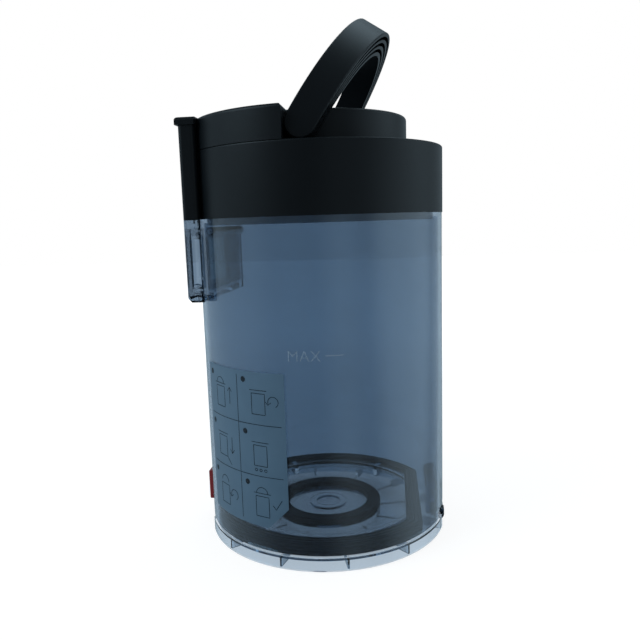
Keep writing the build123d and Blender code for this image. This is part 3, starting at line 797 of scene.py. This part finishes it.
@dataclass
class LabelPrint:
    """Plain pictograms on the film: a grid of fields with dots, bins, arrows and drops."""

    tube: Tube
    left: float
    right: float
    bottom: float
    top: float
    margin: float = 2.5 * MM
    stroke: float = 0.4 * MM
    grid_step: float = 2 * MM
    dot_radius: float = 1.7 * MM
    dot_points: int = 24
    dot_place: Tuple[float, float] = (0.16, 0.84)
    proud: float = 0.36 * MM
    rows: int = 3
    columns: int = 2
    ink: PrintInk = PrintInk("label_ink", (0.006, 0.009, 0.013), cover=0.46)

    def cell(self, row: int, column: int) -> Tuple[np.ndarray, np.ndarray]:
        """Corner and size of one field.

        Args:
            row: Row from the top.
            column: Column from the left.

        Returns:
            The lower left corner and the size.
        """
        size = np.array([(self.right - self.left) / self.columns, (self.top - self.bottom) / self.rows])
        corner = np.array([self.left + column * size[0], self.top - (row + 1) * size[1]])
        return corner, size

    def strokes(self) -> List[np.ndarray]:
        """Lines of the grid and of the pictograms.

        Returns:
            Lines on the flat label, in metres.
        """
        middle = (self.left + self.right) / 2
        step = (self.top - self.bottom) / self.rows
        low, high = self.bottom + self.margin, self.top - self.margin
        near, far = self.left + self.margin, self.right - self.margin
        lines = [polyline((middle, low), (middle, high), step=self.grid_step)]
        for k in range(1, self.rows):
            level = self.bottom + k * step
            lines.append(polyline((near, level), (far, level), step=self.grid_step))
        for row in range(self.rows):
            for column in range(self.columns):
                corner, size = self.cell(row, column)
                lines += [corner + size * line for line in self.pictogram(row * self.columns + column)]
        return lines

    @staticmethod
    def pictogram(number: int) -> List[np.ndarray]:
        """A small generic drawing in a unit field: a bin with an arrow, a door, drops, a turn or a tick.

        Args:
            number: Which field it is for.

        Returns:
            Lines in the unit field.
        """
        bin_box = polyline((0.34, 0.2), (0.34, 0.6), (0.62, 0.6), (0.62, 0.2), (0.34, 0.2), step=0.1)
        rim = polyline((0.3, 0.66), (0.66, 0.66), step=0.1)
        bail = arc((0.48, 0.66), 0.12, 0, 180)
        shaft = polyline((0.78, 0.3), (0.78, 0.62), step=0.1)
        tip = polyline((0.72, 0.54), (0.78, 0.62), (0.84, 0.54), step=0.1)
        up = [shaft, tip]
        down = [line * (1, -1) + (0, 0.92) for line in up]
        door = polyline((0.62, 0.2), (0.74, 0.06), step=0.1)
        drops = [arc((x, 0.12), 0.025, 0, 360) for x in (0.38, 0.48, 0.58)]
        turn_tip = polyline((0.63, 0.46), (0.68, 0.4), (0.74, 0.45), step=0.1)
        turn = [arc((0.78, 0.46), 0.1, -60, 200), turn_tip]
        tick = [polyline((0.7, 0.46), (0.76, 0.38), (0.88, 0.58), step=0.1)]
        drawings = [
            [bin_box, rim, bail] + up,
            [bin_box, rim] + turn,
            [bin_box, rim, door] + down,
            [bin_box, rim] + drops,
            [bin_box, bail] + turn,
            [bin_box, rim, bail] + tick,
        ]
        return drawings[number % len(drawings)]

    def build(self) -> None:
        """Makes the strokes and the dots."""
        material = self.ink.build()
        bands = [self.tube.band(line, self.stroke, self.proud) for line in self.strokes()]
        faces: Faces = []
        count = 0
        for band in bands:
            faces += shifted(ring_faces(*band.shape[:2]), count)
            count += band.shape[0] * band.shape[1]
        points = np.concatenate(bands)
        make_piece("label_strokes", points, faces, material, Body.BIN, smooth=False)
        self.dots(material)

    def dots(self, material: bpy.types.Material) -> None:
        """Makes one dot in the upper corner of each field: a circle at the ink's top and one at its foot.

        Args:
            material: The ink.
        """
        angle = full_turn(self.dot_points)
        spot = self.dot_radius * np.stack([np.cos(angle), np.sin(angle)], axis=-1)
        fields = [self.cell(row, column) for row in range(self.rows) for column in range(self.columns)]
        centres = np.array([corner + size * self.dot_place for corner, size in fields])
        flat = (centres[:, None] + spot)[:, None].repeat(2, axis=1)
        level = np.array([self.proud, self.proud - self.tube.ink])[None, :, None]
        points = self.tube.wrap(flat[..., 0], flat[..., 1], level)
        faces: Faces = []
        for k in range(len(centres)):
            faces += shifted(ring_faces(2, self.dot_points), 2 * k * self.dot_points)
        make_piece("label_dots", points, faces, material, Body.BIN, smooth=False)


@dataclass
class SealLips:
    """Fine beads round the door's rubber band and on its flange, and its face behind the clear ring."""

    front: float
    back: float
    radius: float
    bottom: float
    ring_top: float
    flange_top: float
    band_shares: Sequence[float] = (0.2, 0.5, 0.8)
    flange_shares: Sequence[float] = (0.15, 0.5, 0.85)
    flange_front: float = 9.0 * MM
    flange_back: float = 4.5 * MM
    flange_side: float = 8.0 * MM
    thickness: float = 2.3 * MM
    sunk: float = 0.1 * MM
    bead: float = 0.5 * MM
    around: int = 240
    across: int = 12

    def carry(self, name: str, profile: np.ndarray, share: float, material: bpy.types.Material) -> None:
        """Carries a closed profile round an outline, a circle cut by a flat at each end of X.

        Args:
            name: The piece's name.
            profile: Points as distance outside the outline and height, counter-clockwise.
            share: Where the outline lies, 0 at the flange's outer edge and 1 at its inner edge.
            material: The rubber.
        """
        angle = full_turn(self.around)[:, None]
        along = np.cos(angle)
        front = self.front - share * self.flange_front
        back = self.back - share * self.flange_back
        flat = np.where(along > 0, front, back) + profile[:, 0]
        circle = self.radius - share * self.flange_side + profile[:, 0]
        reach = np.minimum(circle, flat / np.maximum(np.abs(along), TINY))
        level = np.broadcast_to(profile[:, 1], reach.shape)
        points = np.stack([reach * along, reach * np.sin(angle), level], axis=-1)
        faces = ring_faces(self.around, len(profile), joined=True)
        make_piece(name, points, faces, material, Body.DOOR)

    def round_bead(self, height: float) -> np.ndarray:
        """A round profile: the bead's radius turned about its centre on the outline.

        Args:
            height: Height of its centre.

        Returns:
            Points as distance and height.
        """
        turn = full_turn(self.across)
        return np.stack([self.bead * np.cos(turn), height + self.bead * np.sin(turn)], axis=1)

    def build(self, material: bpy.types.Material) -> None:
        """Makes the beads of the band and of the flange, and the contact face.

        Args:
            material: The rubber.
        """
        for number, share in enumerate(self.band_shares):
            height = self.bottom + share * (self.flange_top - self.bottom)
            self.carry(f"seal_lip_{number}", self.round_bead(height), 0.0, material)
        for number, share in enumerate(self.flange_shares):
            self.carry(f"flange_lip_{number}", self.round_bead(self.flange_top), share, material)
        face = -self.thickness - self.sunk
        corners = [(face - self.sunk, self.bottom), (face, self.bottom)]
        corners += [(face, self.ring_top), (face - self.sunk, self.ring_top)]
        self.carry("seal_contact", np.array(corners), 0.0, material)


@dataclass
class SpringStrip:
    """The latch's bowed spring, an arch over the pocket floor."""

    low: Sequence[float]
    high: Sequence[float]
    thickness: float = 0.5 * MM
    foot: float = 1.0 * MM
    kept_bow: float = 0.82
    stations: int = 65

    def bow(self, half_chord: float, height: float) -> np.ndarray:
        """An arc over the pocket floor: the radius is (half chord squared + height squared) / (2 height).

        Args:
            half_chord: Half the distance between its feet.
            height: How far it stands off the floor.

        Returns:
            Points in the XZ plane from the lower foot to the upper one.
        """
        radius = (half_chord**2 + height**2) / (2 * height)
        end = math.acos(1 - height / radius)
        turn = np.linspace(-end, end, self.stations)
        middle = (self.low[2] + self.high[2]) / 2
        centre = self.high[0] - height + radius
        return np.stack([centre - radius * np.cos(turn), middle + radius * np.sin(turn)], axis=1)

    def build(self, material: bpy.types.Material) -> None:
        """Makes the strip between an outer and an inner arc, closed at its sides and feet.

        Args:
            material: The steel.
        """
        height = self.high[0] - self.low[0]
        half_chord = math.sqrt(height * (self.high[2] - self.low[2]) - height**2)
        outer = self.bow(half_chord, height)
        inner = self.bow(half_chord - self.foot, height - self.thickness)
        near, far = self.low[1], self.high[1]
        edges = [(outer, near), (outer, far), (inner, far), (inner, near)]
        points = np.stack([np.insert(line, 1, across, axis=1) for line, across in edges], axis=1)
        faces = ring_faces(*points.shape[:2])
        strip = make_piece("latch_spring_strip", points, faces, material, Body.BIN, smooth=False)
        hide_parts("latch_spring")
        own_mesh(strip)


@dataclass(frozen=True)
class Dressing:
    """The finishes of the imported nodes."""

    finishes: Dict[str, Finish]
    nodes: Dict[str, Sequence[str]]

    def build(self) -> Dict[str, bpy.types.Material]:
        """Gives each node its finish.

        Returns:
            The materials by finish name.
        """
        made = {name: finish.build() for name, finish in self.finishes.items()}
        for finish, names in self.nodes.items():
            for name in names:
                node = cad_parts[name]
                node.data.materials.clear()
                node.data.materials.append(made[finish])
                LOG.info("node %s: %s", name, finish)
        return made


@dataclass(frozen=True)
class SoftLamp:
    """A soft square lamp: where it stands and its side in metres, and its power in watts."""

    name: str
    place: Place
    size: float
    power: float

    def build(self, target: Place, colour: Colour) -> None:
        """Makes the lamp.

        Args:
            target: The point that it faces.
            colour: The colour of its light.
        """
        data = bpy.data.lights.new(self.name, "AREA")
        data.shape = "SQUARE"
        data.size = self.size
        data.energy = self.power
        data.color = colour
        lamp = add_object(self.name, data)
        lamp.location = self.place
        aim = Vector(target) - Vector(self.place)
        lamp.rotation_euler = aim.to_track_quat("-Z", "Y").to_euler()


@dataclass(frozen=True)
class Studio:
    """Pale floor, white surroundings and soft lamps."""

    floor_size: float = 6.0
    floor_colour: Colour = (0.86, 0.87, 0.88)
    glow: Stops = ((0.3, 0.82), (0.8, 1.0))
    floor_lit: float = 0.3
    surround: float = 0.6
    sky: Colour = (0.66, 0.87, 1.0)
    side_glow: Stops = ((0.0, 0.6), (0.25, 0.12), (0.5, 0.04), (0.72, 0.5), (0.86, 0.3), (1.0, 1.4))
    back_glow: Stops = ((0.45, 0.0), (0.8, 0.4))
    target: Place = (0.0, 0.0, 0.15)
    lamps: Sequence[SoftLamp] = (
        SoftLamp("key_lamp", (-1.1, -0.6, 1.0), size=0.9, power=10.0),
        SoftLamp("fill_lamp", (1.5, 0.3, 0.9), size=0.7, power=2.0),
        SoftLamp("top_lamp", (0.3, 0.5, 1.5), size=1.0, power=5.0),
    )

    def world(self) -> None:
        """Makes the world: white behind and through glass, softer as light, dim in front for mirrors."""
        world = bpy.data.worlds.new("studio")
        bpy.context.scene.world = world
        world.use_nodes = True
        graph = Graph(world.node_tree)
        way = graph.node("ShaderNodeTexCoord", output="Generated")
        across = graph.node("ShaderNodeSeparateXYZ", sockets={"Vector": way}, output="X")
        depth = graph.node("ShaderNodeSeparateXYZ", sockets={"Vector": way}, output="Y")
        sides = graph.node("ShaderNodeValToRGB", {"stops": self.side_glow}, {"Fac": across * MIDDLE + MIDDLE})
        behind = graph.node("ShaderNodeValToRGB", {"stops": self.back_glow}, {"Fac": depth * MIDDLE + MIDDLE})
        light = graph.node("ShaderNodeBackground", sockets={"Strength": self.surround})
        mirrored = graph.node(
            "ShaderNodeBackground", sockets={"Color": self.sky, "Strength": sides.largest(behind)}
        )
        white = graph.node("ShaderNodeBackground", sockets={"Color": (1.0, 1.0, 1.0)})
        glossy = graph.node("ShaderNodeLightPath", output="Is Glossy Ray")
        both = graph.node("ShaderNodeMixShader", sockets={0: glossy, 1: light, 2: mirrored})
        shown = graph.node("ShaderNodeMixShader", sockets={0: self.seen_rays(graph), 1: both, 2: white})
        graph.end("ShaderNodeOutputWorld", shown)

    @staticmethod
    def seen_rays(graph: Graph) -> Socket:
        """The share of rays that show plain white: camera rays and rays through glass.

        Args:
            graph: The graph to add the nodes to.

        Returns:
            A value of 0 or 1.
        """
        camera = graph.node("ShaderNodeLightPath", output="Is Camera Ray")
        return camera.largest(graph.node("ShaderNodeLightPath", output="Is Transmission Ray"))

    def floor(self) -> None:
        """Makes the pale floor, whiter with distance, with the object's shadow, and left out of mirrors."""
        half = self.floor_size / 2
        corners = half * np.array([(-1.0, -1.0, 0.0), (1.0, -1.0, 0.0), (1.0, 1.0, 0.0), (-1.0, 1.0, 0.0)])
        mesh = bpy.data.meshes.new("floor")
        mesh.from_pydata(corners, [], [(0, 1, 2, 3)])
        material = bpy.data.materials.new("pale_floor")
        material.use_nodes = True
        graph = Graph(material.node_tree)
        plain = graph.node("ShaderNodeBsdfDiffuse", sockets={"Color": self.floor_colour})
        lit = graph.node("ShaderNodeBsdfDiffuse", sockets={"Color": (self.floor_lit,) * 3})
        clear = graph.node("ShaderNodeBsdfTransparent")
        place = graph.node("ShaderNodeTexCoord", output="Object")
        distance = graph.node("ShaderNodeVectorMath", {"operation": "LENGTH"}, {0: place}, output="Value")
        fade = graph.node("ShaderNodeValToRGB", {"stops": self.glow}, {"Fac": distance})
        glow = graph.node("ShaderNodeEmission", sockets={"Color": fade})
        white = graph.node("ShaderNodeAddShader", sockets={0: lit, 1: glow})
        glossy = graph.node("ShaderNodeLightPath", output="Is Glossy Ray")
        both = graph.node("ShaderNodeMixShader", sockets={0: glossy, 1: plain, 2: clear})
        shown = graph.node("ShaderNodeMixShader", sockets={0: self.seen_rays(graph), 1: both, 2: white})
        graph.end("ShaderNodeOutputMaterial", shown)
        mesh.materials.append(material)
        floor = add_object("floor", mesh)

    def build(self) -> None:
        """Makes the world, the floor and the lamps."""
        self.world()
        self.floor()
        for lamp in self.lamps:
            lamp.build(self.target, self.sky)
        bpy.context.scene.view_settings.view_transform = "Standard"


@dataclass(frozen=True)
class Viewpoint:
    """The photograph's camera: lens and sensor in millimetres, place in metres, turns in degrees."""

    lens: float = 36.64
    sensor: float = 36.0
    nearest: float = 0.01
    distance: float = 0.429
    height: float = 0.2007
    azimuth: float = 7.0
    pitch: float = 8.625
    yaw: float = 0.258
    roll: float = -1.778

    def build(self) -> None:
        """Makes the camera."""
        turn = math.radians(self.azimuth)
        side = Vector((math.cos(turn), math.sin(turn), 0.0))
        ahead = Vector((-math.sin(turn), math.cos(turn), 0.0))
        above = Vector((0.0, 0.0, 1.0))
        yaw, pitch, roll = (math.radians(a) for a in (self.yaw, self.pitch, self.roll))
        right = side * math.cos(yaw) + ahead * math.sin(yaw)
        level = ahead * math.cos(yaw) - side * math.sin(yaw)
        forward = level * math.cos(pitch) - above * math.sin(pitch)
        upward = above * math.cos(pitch) + level * math.sin(pitch)
        rolled_right = right * math.cos(roll) + upward * math.sin(roll)
        rolled_up = upward * math.cos(roll) - right * math.sin(roll)
        data = bpy.data.cameras.new("photo_camera")
        data.lens = self.lens
        data.sensor_width = self.sensor
        data.clip_start = self.nearest
        camera = add_object("photo_camera", data)
        place = above * self.height - ahead * self.distance
        columns = Matrix((rolled_right, rolled_up, -forward)).transposed()
        camera.matrix_world = Matrix.Translation(place) @ columns.to_4x4()
        bpy.context.scene.camera = camera


DRESSING = Dressing(
    finishes={
        # Painted shade: the cup is painted darker beyond about 79 mm from the axis.
        "clear": ClearPlastic(),
        # Painted shade: the door is painted darker within about 75 mm of the axis, and its rim stays paler.
        "door": ClearPlastic(
            "clear_door_plastic", (0.47, 0.57, 0.67), (0.5, 0.6, 0.7), (0.32, 0.38, 0.44),
            painted_shade_zone=((0.74, 1.0), (0.76, 0.0)),
        ),
        "flap": ClearPlastic(
            "clear_flap_plastic", (0.07, 0.12, 0.155), (0.08, 0.13, 0.165), (0.07, 0.12, 0.155)
        ),
        "black": SatinPlastic(
            "satin_black_plastic", (0.0025, 0.004, 0.0055), (0.004, 0.0058, 0.0075),
            roughness=0.4, grain_depth=0.00006, specular=0.18,
        ),
        "red": SatinPlastic(
            "dark_red_plastic", (0.22, 0.018, 0.022), (0.26, 0.024, 0.028),
            roughness=0.3, grain_depth=0.00003,
        ),
        "rubber": SoftRubber("black_rubber", (0.004, 0.0055, 0.007), (0.009, 0.011, 0.013)),
        "seal": SoftRubber(
            "door_seal_rubber", (0.006, 0.01, 0.015), (0.012, 0.017, 0.023), roughness=0.35, specular=0.4
        ),
        "gasket": TranslucentSkin("clear_silicone", (0.12, 0.18, 0.25), (0.15, 0.21, 0.28), cover=0.25),
        "silicone": SoftRubber("grey_silicone", (0.42, 0.45, 0.48), (0.5, 0.53, 0.56), roughness=0.45),
        "pin": BrightSteel("pin_steel", (0.62, 0.63, 0.65)),
        "screen": BrightSteel("screen_steel", (0.5, 0.51, 0.53), roughness=0.35),
        "paper": FilterPaper(),
        "film": TranslucentSkin("label_film", (0.060, 0.116, 0.176), (0.076, 0.141, 0.208), cover=0.9),
    },
    nodes={
        "clear": ("dust_cup",),
        "flap": ("inlet_flap",),
        "door": ("bottom_door",),
        "black": ("collar_ring", "top_cover", "handle", "separator_plate", "filter_frame"),
        "red": ("latch_button",),
        "rubber": ("centre_seal", "outlet_gasket", "filter_seal"),
        "seal": ("door_seal",),
        "gasket": ("inlet_gasket",),
        "silicone": ("collar_seal",),
        "pin": (
            "handle_pin_front", "handle_pin_rear", "door_hinge_pin", "latch_pin", "flap_pin",
            "cover_screws", "separator_screws", "latch_spring",
        ),
        "screen": ("mesh_screen",),
        "paper": ("filter_media",),
        "film": ("instruction_label",),
    },
)


def label_span(tube: Tube) -> Tuple[float, float, float, float]:
    """Reads the film's reach from its node.

    Args:
        tube: The wall that it lies on.

    Returns:
        Its left and right arc lengths from the front line, and its lowest and highest height.
    """
    low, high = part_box("instruction_label")
    left = tube.radius * math.atan2(low[0], -high[1])
    right = tube.radius * math.atan2(high[0], -low[1])
    return left, right, low[2], high[2]


def main() -> None:
    """Builds the scene: camera, studio, finishes, marks, print, seal beads and spring."""
    logging.basicConfig(level=logging.INFO)
    Viewpoint().build()
    Studio().build()
    finishes = DRESSING.build()
    tube = Tube(radius=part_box("dust_cup")[1][1])
    Marks(tube).build()
    LabelPrint(tube, *label_span(tube)).build()
    low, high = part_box("door_seal")
    ring_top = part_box("bottom_door")[1][2]
    lips = SealLips(
        front=high[0], back=-low[0], radius=high[1], bottom=low[2], ring_top=ring_top, flange_top=high[2]
    )
    lips.build(finishes["seal"])
    SpringStrip(*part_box("latch_spring")).build(finishes["pin"])


if __name__ == "__main__":
    main()
